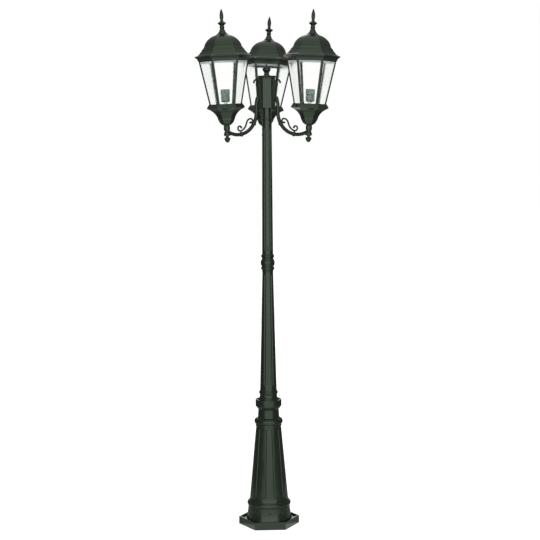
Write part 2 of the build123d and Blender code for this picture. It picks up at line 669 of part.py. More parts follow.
def hub_body():
    """Hexagonal junction box: open on top, a spigot below, a bridge for the cap's stud."""
    body = hex_prism(HUB_CORNER_R, HUB_Z, HUB_TOP_Z)
    body -= hex_prism(HUB_INNER_R, HUB_Z + HUB_FLOOR, HUB_TOP_Z + 1)
    bridge_top = HUB_TOP_Z - BRIDGE_DROP
    bridge = Pos(0, 0, bridge_top - BRIDGE_THICKNESS / 2) * Box(
        2 * HUB_CORNER_R - 4, BRIDGE_WIDTH, BRIDGE_THICKNESS
    )
    body += bridge & hex_prism(HUB_CORNER_R - 1, HUB_Z, HUB_TOP_Z)
    body += rod(HUB_SPIGOT_R, HUB_Z - HUB_SPIGOT, HUB_Z + 0.5)
    body -= rod(CABLE_R + SEAT_GAP, HUB_Z - HUB_SPIGOT - 1, HUB_Z + HUB_FLOOR + 1)
    body -= rod(HUB_STUD_R + TURN_SLIP, bridge_top - BRIDGE_THICKNESS - 1, bridge_top + 1)
    for turn in ARMS.values():
        body -= Rot(0, 0, turn + 90) * radial_rod(ARM_BORE_R, 10, HUB_CORNER_R, ARM_LEVEL)
        for z in ARM_SCREW_ZS:
            body -= Rot(0, 0, turn + 90) * radial_rod(ARM_SCREW_R + THREAD_SLIP, 10, HUB_CORNER_R, z)
    return body


def hub_cap():
    """Round cap with a moulded edge and a hexagonal lip that sits inside the hub."""
    low = HUB_TOP_Z + SEAT_GAP
    high = low + HUB_CAP_THICKNESS
    body = turned(
        (0, low), (HUB_CORNER_R + 1.5, low),
        ((HUB_CORNER_R + 2.8, low + 4.0), (HUB_CAP_R - 1.2, low + 5.8)),
        ((HUB_CAP_R, low + 8.0), (HUB_CAP_R - 0.8, high - 1.0)),
        ((HUB_CAP_R * 0.6, high - 0.2), (HUB_FINIAL_BASE_R, high)), (0, high),
    )
    lip_r = HUB_INNER_R - 1.2
    body += hex_prism(lip_r, low - HUB_CAP_LIP, low + 1) - hex_prism(lip_r - 3, low - HUB_CAP_LIP - 1, low)
    return body - rod(HUB_STUD_R + TURN_SLIP, low - 1, high + 1)


def hub_finial():
    """Onion finial on the cap, with the stud that holds the cap down."""
    low = HUB_TOP_Z + SEAT_GAP + HUB_CAP_THICKNESS + SEAT_GAP
    tip = low + HUB_FINIAL_HEIGHT
    body = turned(
        (0, low), (HUB_FINIAL_BASE_R, low), (HUB_FINIAL_BASE_R - 0.6, low + 2.5),
        ((HUB_FINIAL_NECK_R + 0.6, low + 6), (HUB_FINIAL_NECK_R, low + 11)),
        ((HUB_FINIAL_NECK_R + 1.0, low + 14.5), (HUB_FINIAL_BALL_R - 2.6, low + 20)),
        ((HUB_FINIAL_BALL_R, low + 27), (HUB_FINIAL_BALL_R - 6.0, tip - 16)),
        ((4.6, tip - 8), (0.8, tip)), (0, tip),
    )
    return body + rod(HUB_STUD_R, HUB_TOP_Z - BRIDGE_DROP - BRIDGE_THICKNESS - 2, low + 1)


def arm_screws():
    """Two hexagon screws for each arm, put in from inside the hub."""
    wall_face = HUB_INNER_R * HEX
    screws = []
    for turn in ARMS.values():
        for z in ARM_SCREW_ZS:
            head = Pos(wall_face, 0, z) * Rot(0, -90, 0) * extrude(RegularPolygon(5.0, 6), 3.5)
            shank = radial_rod(ARM_SCREW_R, wall_face - 1, HUB_FACE + PLATE_THIN - 1, z)
            screws.append(Rot(0, 0, turn + 90) * (head + shank))
    return screws


# ---------------------------------------------------------------- arm, drawn in its radial plane (0, r, z)
def arm_path():
    """The arm's centre line from the hub's face to the lantern's axis."""
    drop = [(0, HUB_FACE, ARM_LEVEL), *arm_drop()]
    start = FilletPolyline(*drop, radius=(ARM_SHOULDER_R, ARM_SWEEP_R))
    return Wire(start.edges() + arm_bend(ARM_END).edges())


def arm_drop():
    """The corners of the arm's way down: its shoulder, its slanting drop and the bend's start."""
    shoulder = (0, ARM_DROP_R - ARM_SHOULDER_INSET, ARM_LEVEL)
    return shoulder, (0, ARM_DROP_R, BEND_Z + ARM_SWEEP_RISE), (0, ARM_DROP_R, BEND_Z)


def on_bend(angle):
    """The point (r, z) of the arm's middle at an angle of its bend, in degrees round the bend's centre."""
    return (BEND_R + ARM_BEND_R * cos(radians(angle)), BEND_Z + ARM_BEND_R * sin(radians(angle)))


def arm_bend(end_angle):
    """The arm's big bend, from its straight drop to an angle of the bend."""
    return ThreePointArc((0, *on_bend(180)), (0, *on_bend((180 + end_angle) / 2)), (0, *on_bend(end_angle)))


def bend_frame(angle):
    """A plane across the arm at an angle of its bend, in degrees round the bend's centre."""
    there = radians(angle)
    return Plane(origin=(0, *on_bend(angle)), x_dir=(1, 0, 0), z_dir=(0, -sin(there), cos(there)))


def bracket():
    """The upright plate on the hub, thick above the arm, with a gusset at its heel and a hook."""
    inner = HUB_FACE
    low, high = HUB_Z - PLATE_BELOW, HUB_TOP_Z - PLATE_TOP_DROP
    shoulder = ARM_LEVEL + ARM_R - 1
    points = [
        (inner, low), (inner + PLATE_THIN, low), (inner + PLATE_THIN, ARM_LEVEL - ARM_R - 4),
        (inner + PLATE_THICK_LOW, ARM_LEVEL - ARM_R), (inner + PLATE_THICK_LOW, shoulder),
        (inner + PLATE_THICK_HIGH, high - 18), (inner + PLATE_THICK_HIGH - 1.5, high - 6),
        (inner + PLATE_THICK_HIGH - 8, high), (inner, high),
    ]
    outline = Polyline(*[(0, r, z) for r, z in points], close=True)
    plate = extrude(make_face(outline.edges()), PLATE_WIDTH / 2, dir=(1, 0, 0), both=True)
    heel = [(inner + PLATE_THIN - 1, low + 1), (ARM_DROP_R - 2, BEND_Z + 8), (ARM_DROP_R - 2, BEND_Z + 20),
            (inner + PLATE_THIN - 1, low + 11)]
    web = Polyline(*[(0, r, z) for r, z in heel], close=True)
    gusset = extrude(make_face(web.edges()), 4, dir=(1, 0, 0), both=True)
    start = (inner + PLATE_THICK_HIGH - 9, high - 3)
    hook_path, tip = wire_path(start, 18, [8, (13.5, -105)])
    hook = swept(HOOK_R, hook_path) + Pos(0, *tip) * Sphere(HOOK_BALL_R)
    return plate + gusset + hook


def boss_profile():
    """The turned boss at the arm's end: drum below, waist above, on the lantern's axis."""
    return turned(
        (0, ACORN_TOP), (7.6, ACORN_TOP), (BOSS_R - 1, ACORN_TOP + 1.2), (BOSS_R, ACORN_TOP + 4),
        (BOSS_R, ACORN_TOP + 12), (BOSS_R - 2, ACORN_TOP + 15.5),
        ((BOSS_R - 3.4, ACORN_TOP + 20), (STEM_R - 1.6, BOSS_TOP - 1.5)), (STEM_R - 0.8, BOSS_TOP),
        (0, BOSS_TOP),
    )


def arm():
    """Cast arm: bracket, hollow curved tube with two knuckles, and the boss that holds the stem."""
    path = arm_path()
    body = bracket() + swept(ARM_R, path) + LANTERN * boss_profile()
    half = KNUCKLE_LENGTH / 2
    knuckle = turned((0, -half), (ARM_R + 0.8, -half), ((KNUCKLE_R, 0), (ARM_R + 0.8, half)), (0, half))
    for angle in KNUCKLE_ANGLES:
        body += bend_frame(angle) * knuckle
    body -= LANTERN * rod(STEM_R + 2, BOSS_TOP, STEM_TOP)
    body -= swept(ARM_BORE_R, path)
    body -= LANTERN * rod(8.5, ACORN_TOP + 6, ACORN_TOP + 17)
    body -= LANTERN * rod(NIPPLE_R + THREAD_SLIP, ACORN_TOP + 16, BOSS_TOP + 1)
    body -= LANTERN * rod(4 + THREAD_SLIP, ACORN_TOP - 1, ACORN_TOP + 7)
    for z in ARM_SCREW_ZS:
        hole = radial_rod(ARM_SCREW_R + THREAD_SLIP, HUB_FACE - 2, HUB_FACE + PLATE_THIN - 0.8, z)
        body -= Rot(0, 0, 90) * hole
    return body


def scroll(arm_solid):
    """S-scroll of round wire on the arm's inner side, notched where it lies on the arm."""
    share = ARM_BEND_R / 100
    start = (ARM_DROP_R + 32 * share, BEND_Z - 45.4 * share)
    turns = [(8.8, -110), (9.3, -90), (21.6, -70), 15.5, (43.3, 50), (12.4, 90), (9.8, 130), (6.7, 60)]
    turns = [(turn[0] * share, turn[1]) if isinstance(turn, tuple) else turn * share for turn in turns]
    path, end = wire_path(start, 200, turns)
    body = swept(WIRE_R, path)
    for tip in (start, end):
        body += Pos(0, *tip) * Sphere(WIRE_BALL_R)
    return body - arm_solid


# ---------------------------------------------------------------- lantern base
def stem(side):
    """Turned neck between the arm's boss and the bell, in place, its foot cut to sit on the boss."""
    neck = turned(
        (NIPPLE_R + THREAD_SLIP, BOSS_TOP - 1), (STEM_R - 0.8, BOSS_TOP - 1), (STEM_R, BOSS_TOP + 1.5),
        (STEM_R, STEM_TOP - 4), ((STEM_R - 1.3, STEM_TOP - 2.6), (STEM_R - 0.4, STEM_TOP)),
        (NIPPLE_R + THREAD_SLIP, STEM_TOP),
    )
    boss_below = rod(2 * STEM_R, BOSS_TOP - 5, BOSS_TOP)
    return lantern_place(side) * neck - Rot(0, 0, ARMS[side]) * LANTERN * boss_below


def acorn():
    """Acorn nut under the boss, with its stud."""
    top = ACORN_TOP
    head = top - ACORN_NECK
    body = turned(
        (0, top), (7, top), (6.6, head), (9.6, head - 0.6),
        ((ACORN_R - 0.8, head - 3), (ACORN_R, head - 6)), (ACORN_R - 1.8, head - 10),
        ((7.8, head - 18.2), (0.6, top - ACORN_HEIGHT)), (0, top - ACORN_HEIGHT),
    )
    return body + rod(4, top - 1, top + 5.5)


def bell():
    """Hexagonal bell under the cage: flared upper part, a ledge and a rounded cup."""
    foot, ledge = -BELL_HEIGHT, -BELL_HEIGHT + BELL_CUP_HEIGHT
    cup = ((BELL_FOOT_R + 12, foot + 8.5), (BELL_THROAT_R - 3, ledge - 1))
    flare = ((BELL_THROAT_R + 8.5, -29.5), (BELL_LIP_R - 10.5, -7))
    outer = hexed(
        (BELL_FOOT_R, foot), cup, (BELL_THROAT_R - 0.5, ledge), (BELL_THROAT_R, ledge + 5.5), flare,
        (BELL_LIP_R - 0.5, -1.6), (BELL_LIP_R, 0),
    )
    wall = BELL_WALL / HEX
    mouth_r = BELL_LIP_R - 12 - wall
    inner = hexed(
        (NIPPLE_R + 4, foot + 12), (BELL_THROAT_R - 5 - wall, ledge + 1), (BELL_THROAT_R - wall, ledge + 8),
        ((BELL_THROAT_R + 8.5 - wall, -29.5 + wall), (mouth_r, -6 + wall)), (mouth_r, 1),
    )
    return outer - inner - rod(NIPPLE_R + THREAD_SLIP, foot - 1, 1)


# ---------------------------------------------------------------- cage and glass
CAGE_SLOPE = (CAGE_TOP_R - CAGE_BOTTOM_R) / CAGE_HEIGHT
FACE_TILT = degrees(atan2((CAGE_TOP_R - CAGE_BOTTOM_R) * HEX, CAGE_HEIGHT))
RING_INNER_R = CAGE_BOTTOM_R - 12
PANE_FOOT = CAGE_Z - PANE_SEAT
PANE_TOP = CAGE_TOP + PANE_LAP


def cage_r(level):
    """The cage's outer corner radius at a level."""
    return CAGE_BOTTOM_R + CAGE_SLOPE * (level - CAGE_Z)


def cage():
    """One casting: base ring with a web, six corner bars and a top ring."""
    inset = CAGE_WALL / cos(radians(FACE_TILT)) / HEX
    inner_top_r = cage_r(PANE_TOP) - inset
    frame = hexed((CAGE_BOTTOM_R, CAGE_Z), (CAGE_TOP_R, CAGE_TOP), (CAGE_TOP_R, ROOF_SEAT))
    half_low = cage_r(CAGE_Z - 1) / 2 - CAGE_BAR
    half_high = CAGE_TOP_R / 2 - CAGE_BAR
    opening = Polyline(
        (-half_low, 0, CAGE_Z - 1), (half_low, 0, CAGE_Z - 1), (half_high, 0, CAGE_TOP),
        (-half_high, 0, CAGE_TOP), close=True,
    )
    window = extrude(make_face(opening.edges()), 2 * CAGE_TOP_R, dir=(0, 1, 0))
    for k in range(6):
        frame -= Rot(0, 0, k * SIXTH) * window
    ring = hexed((BELL_LIP_R, 0), (BELL_LIP_R - 0.4, 1.4), (RING_TOP_R, RING_HEIGHT))
    ring -= hex_prism(RING_INNER_R, WEB_LEVEL + WEB_THICKNESS, RING_HEIGHT + 1)
    ring -= hex_prism(RING_INNER_R, -1, WEB_LEVEL)
    ring -= rod(NIPPLE_R + THREAD_SLIP, -1, RING_HEIGHT)
    for hole in around(6, Pos(0.56 * RING_INNER_R, 0, 0) * rod(9, -1, RING_HEIGHT), 30):
        ring -= hole
    return frame + ring - hexed(
        (cage_r(PANE_FOOT) - inset, PANE_FOOT), (inner_top_r, PANE_TOP), (inner_top_r, ROOF_SEAT + 1)
    )


def glass():
    """Six tapered panes behind the cage's faces, bevelled all round on their inner side."""
    tilt = radians(FACE_TILT)
    low, high = PANE_FOOT + 0.1, PANE_TOP - 0.5
    gap = 0.1
    slant = (high - low) / cos(tilt)

    def half_width(level, depth):
        return ((cage_r(level) * HEX) - depth / cos(tilt)) * tan(radians(SIXTH / 2)) - 0.3

    depth = CAGE_WALL + gap + PANE_EDGE
    outer_low, outer_high = half_width(low, depth), half_width(high, depth)
    face_y = -(cage_r(low) * HEX - (CAGE_WALL + gap) / cos(tilt))
    plane = Plane(origin=(0, face_y, low), x_dir=(1, 0, 0), z_dir=(0, -cos(tilt), -sin(tilt)))

    def trapezoid(inset, back):
        lean = (outer_high - outer_low) / slant
        side = inset * sqrt(1 + lean**2)
        half_low = outer_low + lean * inset - side
        half_high = outer_high - lean * inset - side
        points = [
            (-half_low, inset), (half_low, inset), (half_high, slant - inset), (-half_high, slant - inset),
        ]
        return plane * Pos(0, 0, -back) * make_face(Polyline(*points, close=True).edges())

    full = trapezoid(0, 0)
    pane = extrude(full, PANE_EDGE, dir=(0, cos(tilt), sin(tilt)))
    pane += loft([trapezoid(0, PANE_EDGE), trapezoid(PANE_BEVEL, PANE_THICKNESS)], ruled=True)
    return [Rot(0, 0, k * SIXTH) * pane for k in range(6)]


# ---------------------------------------------------------------- lamp holder and its tube
def lampholder():
    """Round lamp holder on the threaded tube, ribbed round its middle."""
    low, high = HOLDER_LEVEL, HOLDER_LEVEL + HOLDER_HEIGHT
    middle = low + 0.52 * HOLDER_HEIGHT
    inner = SHELL_R + SHELL_WALL + 0.2
    return turned(
        (NIPPLE_R + THREAD_SLIP, low), (13, low), ((17.5, low + 1.4), (HOLDER_R - 1, low + 5)),
        (HOLDER_R - 1, middle - 2.5), (HOLDER_R - 2.2, middle - 1.2), (HOLDER_R - 2.2, middle + 1.2),
        (HOLDER_R, middle + 2.5), (HOLDER_R, high - 1.5), (HOLDER_R - 1.5, high), (inner, high),
        (inner, low + 12), (NIPPLE_R + THREAD_SLIP, low + 12),
    )


def screw_shell():
    """Threaded brass shell in the holder, with its floor contact."""
    low, high = HOLDER_LEVEL + 12, HOLDER_LEVEL + HOLDER_HEIGHT - 1
    shell = turned(
        (NIPPLE_R, low), (SHELL_R + SHELL_WALL, low), (SHELL_R + SHELL_WALL, high), (SHELL_R, high),
        (SHELL_R, low + SHELL_WALL), (NIPPLE_R, low + SHELL_WALL),
    )
    return shell


def nipple():
    """Threaded tube from the arm's boss up to the lamp holder."""
    low, high = BOSS_TOP - NIPPLE_GRIP, HOLDER_LEVEL + 10
    return rod(NIPPLE_R, low, high) - rod(NIPPLE_BORE_R, low - 1, high + 1)


def nipple_nuts():
    """The nut on the cage's web and the one under the lamp holder, for all three lanterns."""
    nuts = []
    for low in (WEB_LEVEL + WEB_THICKNESS, HOLDER_LEVEL - NUT_HEIGHT):
        high = low + NUT_HEIGHT
        nut = hex_prism(NUT_R, low, high) - rod(NIPPLE_R + THREAD_SLIP, low - 1, high + 1)
        nuts += [lantern_place(side) * nut for side in ARMS]
    return nuts


# ---------------------------------------------------------------- roof and finial
ROOF_Z = ROOF_SEAT + SEAT_GAP
EAVE_Z = ROOF_Z + ROOF_EAVE_RISE
COVE_TOP_Z = EAVE_Z + ROOF_EAVE_EDGE + ROOF_COVE_RISE
STEP_Z = COVE_TOP_Z + ROOF_STEP_RISE
DOME_Z = STEP_Z + ROOF_BAND_RISE
DOME_SHOULDER_Z = DOME_Z + ROOF_DOME_RISE
FLARE_Z = DOME_SHOULDER_Z + ROOF_SHOULDER_RISE
ROOF_TOP_Z = FLARE_Z + ROOF_NECK_RISE
ROOF_SCREW_HEAD_R = 3.6
ROOF_SCREW = Rot(0, 0, 180) * Pos(ROOF_STEP_R + 16.8, 0, EAVE_Z + ROOF_EAVE_EDGE + 6) * Rot(0, -35, 0)


def roof():
    """Hexagonal roof: sloping fascia, eave, cove, two steps, a domed top and a flared neck."""
    fascia_z = EAVE_Z - ROOF_FASCIA_DROP
    cove_top_r = ROOF_STEP_R + 9.5
    edge_z = EAVE_Z + ROOF_EAVE_EDGE
    outer = hexed(
        (ROOF_FASCIA_R, fascia_z), (ROOF_FASCIA_R + 2.5, fascia_z + 9),
        (ROOF_EAVE_R, EAVE_Z), (ROOF_EAVE_R, edge_z),
        ((cove_top_r + 9.5, edge_z + 6.5), (cove_top_r, COVE_TOP_Z)),
        (cove_top_r - 4.5, COVE_TOP_Z + 3), (ROOF_STEP_R + 2.5, STEP_Z - 3.5), (ROOF_STEP_R, STEP_Z - 1.5),
        (ROOF_STEP_R, STEP_Z), (ROOF_STEP_R - 4, STEP_Z + 1.5), (ROOF_STEP_R - 4, STEP_Z + 4),
        (ROOF_DOME_R, DOME_Z),
        ((ROOF_DOME_R - 6.5, DOME_Z + 17), (ROOF_DOME_R - 22, DOME_SHOULDER_Z)),
        ((ROOF_DOME_R - 33.5, DOME_SHOULDER_Z + 7.8), (ROOF_NECK_R + 22, FLARE_Z)),
        ((ROOF_NECK_R + 9, FLARE_Z + 8), (ROOF_NECK_R, ROOF_TOP_Z)),
    )
    wall = ROOF_WALL / HEX
    rebate_r = CAGE_TOP_R + ROOF_CLEARANCE
    ledge_r = CAGE_TOP_R - 5
    inner = hexed(
        (rebate_r, fascia_z - 1), (rebate_r, ROOF_Z), (ledge_r, ROOF_Z), (ledge_r, EAVE_Z),
        (cove_top_r - 2 - wall, COVE_TOP_Z - 3), (ROOF_STEP_R - wall, COVE_TOP_Z + 2),
        (ROOF_STEP_R - wall, STEP_Z - 3), (ROOF_DOME_R - wall, DOME_Z - 1),
        ((ROOF_DOME_R - 6.5 - wall, DOME_Z + 16), (ROOF_DOME_R - 23 - wall, DOME_SHOULDER_Z - 2)),
        (ROOF_NECK_R + 19, FLARE_Z - 4), (ROOF_NECK_R, FLARE_Z - 1),
    )
    body = outer - inner - rod(FINIAL_STUD_R + TURN_SLIP, FLARE_Z - 3, ROOF_TOP_Z + 1)
    spot_face = radial_rod(ROOF_SCREW_HEAD_R + 0.2, 0, 12, 0) + radial_rod(2 + THREAD_SLIP, -12, 1, 0)
    return body - ROOF_SCREW * spot_face


def roof_screw():
    """Slotted screw on a spot-face in the roof's cove, at a corner."""
    return ROOF_SCREW * slotted_screw(ROOF_SCREW_HEAD_R, 2.8, 2.0, 8)


def finial():
    """Spear finial: flared foot, bead, diamond collar and spear, on a stud through the roof."""
    low = ROOF_TOP_Z + SEAT_GAP
    tip = low + FINIAL_HEIGHT
    collar_z = low + 27
    body = turned(
        (0, low), (ROOF_NECK_R - 0.6, low), ((9.3, low + 2.2), (8.9, low + 4.5)),
        ((10.7, low + 9), (9.3, low + 12.6)), ((9.6, low + 17), (13.6, low + 21)),
        (FINIAL_COLLAR_R, collar_z - 1), (FINIAL_COLLAR_R, collar_z + 0.4), (13.4, collar_z + 3.6),
        ((7.8, collar_z + 8), (6.2, collar_z + 14.6)),
        ((FINIAL_SPEAR_R - 0.6, collar_z + 21), (FINIAL_SPEAR_R, collar_z + 31)),
        ((FINIAL_SPEAR_R - 2.8, tip - 13), (0.5, tip)), (0, tip),
    )
    return body + rod(FINIAL_STUD_R, FLARE_Z - 2.5, low + 1)


# ---------------------------------------------------------------- wiring
CONNECTOR_AXIS_R = 12.0
CONNECTOR_Z = ARM_LEVEL + 20
WIRE_END_Z = CONNECTOR_Z + CONNECTOR_DEPTH
TAIL_R = CONNECTOR_AXIS_R - 2.6
LEAD_START_R = CONNECTOR_AXIS_R + 2.0


def feed_cable():
    """Feed cable up the middle of the post, splitting into a core for each lamp in the hub."""
    split_z = HUB_Z + HUB_FLOOR + 12
    cable = rod(CABLE_R, TRAY_FLOOR + CABLE_TAIL, split_z)
    for turn in ARMS.values():
        path = FilletPolyline(
            (0, 1.6, split_z - 2), (0, 1.6, split_z + 8), (0, TAIL_R, split_z + 26),
            (0, TAIL_R, WIRE_END_Z), radius=10,
        )
        cable += Rot(0, 0, turn) * swept(CORE_R, Wire(path.edges()))
    return cable


def lamp_lead():
    """A lead's path from its connector through the hollow arm to the foot of the threaded tube."""
    inside = [(0, LEAD_START_R, WIRE_END_Z), (0, LEAD_START_R, ARM_LEVEL), *arm_drop()]
    start = FilletPolyline(*inside, radius=(LEAD_SHOULDER_R, ARM_SHOULDER_R, ARM_SWEEP_R))
    last = ARM_END - LEAD_LEAVES_BEND
    bend_end, heading, rise = on_bend(last), last - 270, 90 - LEAN
    step = LEAD_BEND_R * tan(radians((rise - heading) / 2))
    before = hypot(MEETING_R - bend_end[0], MEETING_Z - bend_end[1]) - step
    up, _ = wire_path(bend_end, heading, [before, (LEAD_BEND_R, rise - heading), 1])
    return start, arm_bend(last), up


def lamp_leads():
    """The three leads: swept through the arm into the boss, then straight up the threaded tube."""
    start, bend, up = lamp_lead()
    lead = swept(LEAD_R, Wire(start.edges() + bend.edges() + up.edges()))
    in_tube = rod(LEAD_R, LEAN_PIVOT, HOLDER_LEVEL + 11) + Pos(0, 0, LEAN_PIVOT) * Sphere(LEAD_R)
    return [Rot(0, 0, turn) * lead + lantern_place(side) * in_tube for side, turn in ARMS.items()]


def wire_connectors():
    """Cone connectors in the hub, one over each joint of core and lead."""
    low, high = CONNECTOR_Z, CONNECTOR_Z + CONNECTOR_HEIGHT
    inner = CONNECTOR_R - CONNECTOR_WALL
    cone = turned(
        (0, WIRE_END_Z), (inner, WIRE_END_Z), (inner, low), (CONNECTOR_R, low),
        (CONNECTOR_R - 0.4, low + 9), (CONNECTOR_R - 2.6, high - 1), (CONNECTOR_R - 3.6, high), (0, high),
    )
    return [Rot(0, 0, turn) * Pos(0, CONNECTOR_AXIS_R, 0) * cone for turn in ARMS.values()]


# ---------------------------------------------------------------- write every node
write("base_tray", base_tray())
write("pedestal", pedestal())
write("pedestal_screws", pedestal_screws())
write("collar", collar())
write("collar_screws", collar_screws())
write("lower_shaft", lower_shaft())
write("coupling", coupling())
write("upper_pole", upper_pole())
write("pole_fitter", pole_fitter())
write("fitter_screws", fitter_screws())
write("hub_body", hub_body())
write("hub_cap", hub_cap())
write("hub_finial", hub_finial())
write("arm_screws", arm_screws())
write("nipple_nuts", nipple_nuts())
write("feed_cable", feed_cable())
write("lamp_leads", lamp_leads())
write("wire_connectors", wire_connectors())

arm_solid = arm()
arm_pieces = {"arm": arm_solid, "scroll": scroll(arm_solid), "acorn": LANTERN * acorn()}
lantern_pieces = {
    "bell": bell(), "cage": cage(), "glass": glass(), "lampholder": lampholder(),
    "screw_shell": screw_shell(), "nipple": nipple(),
    "roof": roof(), "roof_screw": roof_screw(), "finial": finial(),
}
for side, turn in ARMS.items():
    for name, piece in arm_pieces.items():
        write(f"{name}_{side}", Rot(0, 0, turn) * piece)
    write(f"stem_{side}", stem(side))
    for name, piece in lantern_pieces.items():
        solids = piece if isinstance(piece, list) else [piece]
        write(f"{name}_{side}", [lantern_place(side) * solid for solid in solids])
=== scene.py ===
"""The looks of a garden lamp post with three hexagonal glass lanterns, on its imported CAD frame."""
import bpy
import json
import numpy as np
from mathutils import Euler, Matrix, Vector


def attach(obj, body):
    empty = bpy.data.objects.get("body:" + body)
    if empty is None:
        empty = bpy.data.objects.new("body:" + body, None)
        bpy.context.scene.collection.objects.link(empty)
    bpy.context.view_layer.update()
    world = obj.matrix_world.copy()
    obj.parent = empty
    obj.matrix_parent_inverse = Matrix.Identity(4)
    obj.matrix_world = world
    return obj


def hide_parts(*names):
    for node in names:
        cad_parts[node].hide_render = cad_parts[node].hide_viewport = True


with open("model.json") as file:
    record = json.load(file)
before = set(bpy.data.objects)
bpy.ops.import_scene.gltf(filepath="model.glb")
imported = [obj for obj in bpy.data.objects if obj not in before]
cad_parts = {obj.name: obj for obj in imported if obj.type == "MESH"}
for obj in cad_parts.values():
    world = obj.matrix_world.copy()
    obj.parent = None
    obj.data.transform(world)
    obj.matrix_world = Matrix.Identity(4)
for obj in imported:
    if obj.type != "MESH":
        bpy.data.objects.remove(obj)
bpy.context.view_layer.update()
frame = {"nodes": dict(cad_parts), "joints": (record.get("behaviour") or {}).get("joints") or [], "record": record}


# Castings: sand-cast aluminium under a dark green powder coat, satin, with a fine orange peel.
# The tray, pedestal, collar, pole sections, coupling, fitter, hub, arms, scrolls, stems, acorns,
# bells, cages, roofs and finials all carry it, a little worn and lighter where an edge stands out.
SIDES = ("rear", "left", "right")                    # the three arms, each with its lantern
GREEN, CLOUDED_GREEN = (38, 47, 35), (45, 54, 42)    # the coat and its paler clouds, as sRGB
WORN_TRAY_GREEN, WORN_GREEN = (84, 98, 82), (80, 94, 80)
GREEN_GLOSS = (0.82, 1, 0.86, 1)
COAT_GLOSS, COAT_ROUGHNESS = 0.42, 0.23
PEEL_STRENGTH, PEEL_HEIGHT = 0.1, 0.0004
SWELL = 1.5                                          # height of the broad swell over the fine peel's


def linear(*srgb):
    """The linear colour of an sRGB one given in 0 to 255."""
    c = np.array(srgb) / 255
    return tuple(np.where(c <= 0.04045, c / 12.92, ((c + 0.055) / 1.055) ** 2.4)) + (1.0,)


def shader_group(name, inputs, outputs):
    """A shader node group with named sockets: (name, kind, default) in, (name, kind) out."""
    group = bpy.data.node_groups.new(name, "ShaderNodeTree")
    for socket, kind, default in inputs:
        group.interface.new_socket(socket, in_out="INPUT", socket_type=kind).default_value = default
    for socket, kind in outputs:
        group.interface.new_socket(socket, in_out="OUTPUT", socket_type=kind)
    return group, group.nodes.new("NodeGroupInput").outputs, group.nodes.new("NodeGroupOutput").inputs


def node(tree, kind, links=(), **values):
    """A shader node with links into it, (socket, from), and its settings and sockets by name."""
    made = tree.nodes.new("ShaderNode" + kind)
    for key, value in values.items():
        if hasattr(made, key):
            setattr(made, key, value)
        else:
            made.inputs[key.replace("_", " ")].default_value = value
    for socket, source in links:
        tree.links.new(source, made.inputs[socket])
    return made


def orange_peel():
    """Powder coat's surface: a fine peel, a broad swell, and clouds where the coat is lighter."""
    group, given, out = shader_group(
        "orange peel", [("Grain", "NodeSocketFloat", 900.0), ("Seed", "NodeSocketFloat", 0.0)],
        [("Height", "NodeSocketFloat"), ("Cloud", "NodeSocketFloat")],
    )
    place = node(group, "TexCoord").outputs["Object"]
    shifted = node(group, "VectorMath", [(0, place), (1, given["Seed"])], operation="ADD").outputs[0]
    fine = [("Vector", shifted), ("Scale", given["Grain"])]
    peel = node(group, "TexNoise", fine, Detail=2.0, Roughness=0.5)
    swell = node(group, "TexNoise", [("Vector", shifted)], Scale=60.0, Detail=3.0)
    heights = [(0, swell.outputs["Fac"]), (2, peel.outputs["Fac"])]
    both = node(group, "Math", heights, operation="MULTIPLY_ADD")
    both.inputs[1].default_value = SWELL
    cloud = node(group, "TexNoise", [("Vector", shifted)], Scale=9.0, Detail=4.0, Roughness=0.6)
    group.links.new(both.outputs[0], out["Height"])
    group.links.new(cloud.outputs["Fac"], out["Cloud"])
    return group


def worn_edge():
    """A mask of standing edges: where a rounded normal turns away from the face's own."""
    group, given, out = shader_group(
        "worn edge", [("Width", "NodeSocketFloat", 0.0015), ("Sharpness", "NodeSocketFloat", 6.0)],
        [("Mask", "NodeSocketFloat"), ("Normal", "NodeSocketVector")],
    )
    rounded = node(group, "Bevel", [("Radius", given["Width"])], samples=4).outputs[0]
    own = node(group, "NewGeometry").outputs["Normal"]
    alike = node(group, "VectorMath", [(0, rounded), (1, own)], operation="DOT_PRODUCT").outputs["Value"]
    away = node(group, "Math", [(1, alike)], operation="SUBTRACT")
    away.inputs[0].default_value = 1.0
    factors = [(0, away.outputs[0]), (1, given["Sharpness"])]
    mask = node(group, "Math", factors, operation="MULTIPLY", use_clamp=True)
    group.links.new(mask.outputs[0], out["Mask"])
    group.links.new(rounded, out["Normal"])
    return group


PEEL, WORN = orange_peel(), worn_edge()


def new_material(name, **sockets):
    """A material with its node tree and Principled shader, whose sockets take the given values."""
    material = bpy.data.materials.new(name)
    material.use_nodes = True
    shader = material.node_tree.nodes["Principled BSDF"]
    for key, value in sockets.items():
        shader.inputs[key.replace("_", " ")].default_value = value
    return material, material.node_tree, shader


def group_node(tree, group, **values):
    """A node group placed in a tree with its own input values."""
    placed = tree.nodes.new("ShaderNodeGroup")
    placed.node_tree = group
    for key, value in values.items():
        placed.inputs[key].default_value = value
    return placed


def two_tones(tree, mask, first, second):
    """A colour that goes from the first to the second as the mask goes from 0 to 1."""
    mix = node(tree, "Mix", [(0, mask)], data_type="RGBA")
    mix.inputs[6].default_value, mix.inputs[7].default_value = first, second
    return mix.outputs[2]


